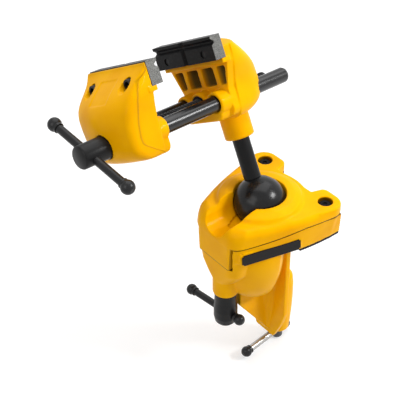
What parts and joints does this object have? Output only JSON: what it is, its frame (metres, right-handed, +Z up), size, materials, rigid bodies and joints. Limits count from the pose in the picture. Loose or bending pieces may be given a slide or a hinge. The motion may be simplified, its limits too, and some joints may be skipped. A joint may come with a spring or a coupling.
{
  "type": "clamp-on ball-joint vise",
  "caption": "Small bench vise that clamps to a bench edge and tilts and turns on a lockable ball, with guided jaws and sliding T-bars.",
  "frame": {"origin": "where the clamp screw's axis meets the plane of the bench top, under the pad", "axes": "+Z up from the bench top, +X from the nose towards the bench, +Y to the far side"},
  "size_m": [0.2043, 0.1551, 0.3274],
  "materials": {
    "yellow_paint": "gloss enamel",
    "black_paint": "satin",
    "plated_steel": "polished",
    "turned_steel": "machined",
    "pad_rubber": "matte",
    "badge_black": "matte"
  },
  "bodies": {
    "base": {"base_body": "yellow_paint", "socket_cap": "yellow_paint", "cap_bolts": "black_paint", "bench_pad": "pad_rubber", "badge_plate": "badge_black"},
    "lock_washer_body": {"lock_washer": "turned_steel"},
    "lock_screw_body": {"lock_screw": "turned_steel"},
    "lock_handle": {"lock_handle_bar": "plated_steel", "lock_handle_ends": "plated_steel"},
    "clamp_foot_body": {"clamp_foot": "turned_steel"},
    "clamp_screw_body": {"clamp_screw": "turned_steel"},
    "clamp_handle": {"clamp_handle_bar": "plated_steel", "clamp_handle_ends": "plated_steel"},
    "ball_body": {"ball": "turned_steel"},
    "stem_body": {"stem": "black_paint"},
    "head": {"fixed_jaw": "yellow_paint", "fixed_jaw_plate": "black_paint", "fixed_plate_screws": "black_paint", "screw_nut": "turned_steel", "stem_set_screw": "turned_steel"},
    "moving_head": {"moving_jaw": "yellow_paint", "moving_jaw_plate": "black_paint", "moving_plate_screws": "black_paint", "near_guide_rod": "plated_steel", "far_guide_rod": "plated_steel", "rod_pins": "turned_steel"},
    "main_screw_body": {"main_screw": "turned_steel", "screw_collar": "turned_steel"},
    "main_handle": {"main_handle_bar": "plated_steel", "main_handle_ends": "plated_steel"}
  },
  "joints": [
    {"name": "ball_lean", "type": "hinge", "parent": "base", "child": "ball_body", "pos_m": [-0.0265, 0, 0.0315], "axis": [1, 0, 0], "range_deg": [-15, 68]},
    {"name": "ball_tilt", "type": "hinge", "parent": "ball_body", "child": "stem_body", "pos_m": [-0.0265, 0, 0.0315], "axis": [0, 0.868, -0.4965], "range_deg": [-89.5, 28.5]},
    {"name": "head_spin", "type": "hinge", "parent": "stem_body", "child": "head", "pos_m": [-0.0265, 0, 0.0315], "axis": [0.0265, 0.4963, 0.8677], "continuous": true},
    {"name": "jaw_slide", "type": "slide", "parent": "head", "child": "moving_head", "axis": [0.9936, 0.0826, -0.0776], "range_m": [-0.0183, 0.0544]},
    {"name": "main_screw_turn", "type": "hinge", "parent": "moving_head", "child": "main_screw_body", "pos_m": [-0.15436, 0.03585, 0.12331], "axis": [0.9936, 0.0826, -0.0776], "range_deg": [-2198, 6530]},
    {"name": "main_handle_slide", "type": "slide", "parent": "main_screw_body", "child": "main_handle", "axis": [-0.0713, 0.9878, 0.1387], "range_m": [-0.026, 0.028]},
    {"name": "lock_turn", "type": "hinge", "parent": "lock_washer_body", "child": "lock_screw_body", "pos_m": [-0.0632, 0, -0.0735], "axis": [0, 0, 1], "range_deg": [-50, 38]},
    {"name": "lock_slide", "type": "slide", "parent": "base", "child": "lock_washer_body", "axis": [0, 0, 1], "range_m": [-0.00029, 0.00022]},
    {"name": "lock_handle_slide", "type": "slide", "parent": "lock_screw_body", "child": "lock_handle", "axis": [0.1361, -0.9907, 0], "range_m": [-0.0004, 0.025]},
    {"name": "clamp_slide", "type": "slide", "parent": "base", "child": "clamp_foot_body", "axis": [0, 0, 1], "range_m": [-0.0535, 0.001]},
    {"name": "clamp_screw_turn", "type": "hinge", "parent": "clamp_foot_body", "child": "clamp_screw_body", "pos_m": [0, 0, -0.1352], "axis": [0, 0, 1], "range_deg": [-9632, 182]},
    {"name": "clamp_handle_slide", "type": "slide", "parent": "clamp_screw_body", "child": "clamp_handle", "axis": [-0.9939, -0.11, 0], "range_m": [-0.0305, 0.0007]}
  ],
  "couplings": [
    {"joint": "main_screw_turn", "follows": "jaw_slide", "rad_per_m": 2094.4},
    {"joint": "lock_slide", "follows": "lock_turn", "m_per_rad": 0.00031831},
    {"joint": "clamp_screw_turn", "follows": "clamp_slide", "rad_per_m": 3141.6}
  ]
}
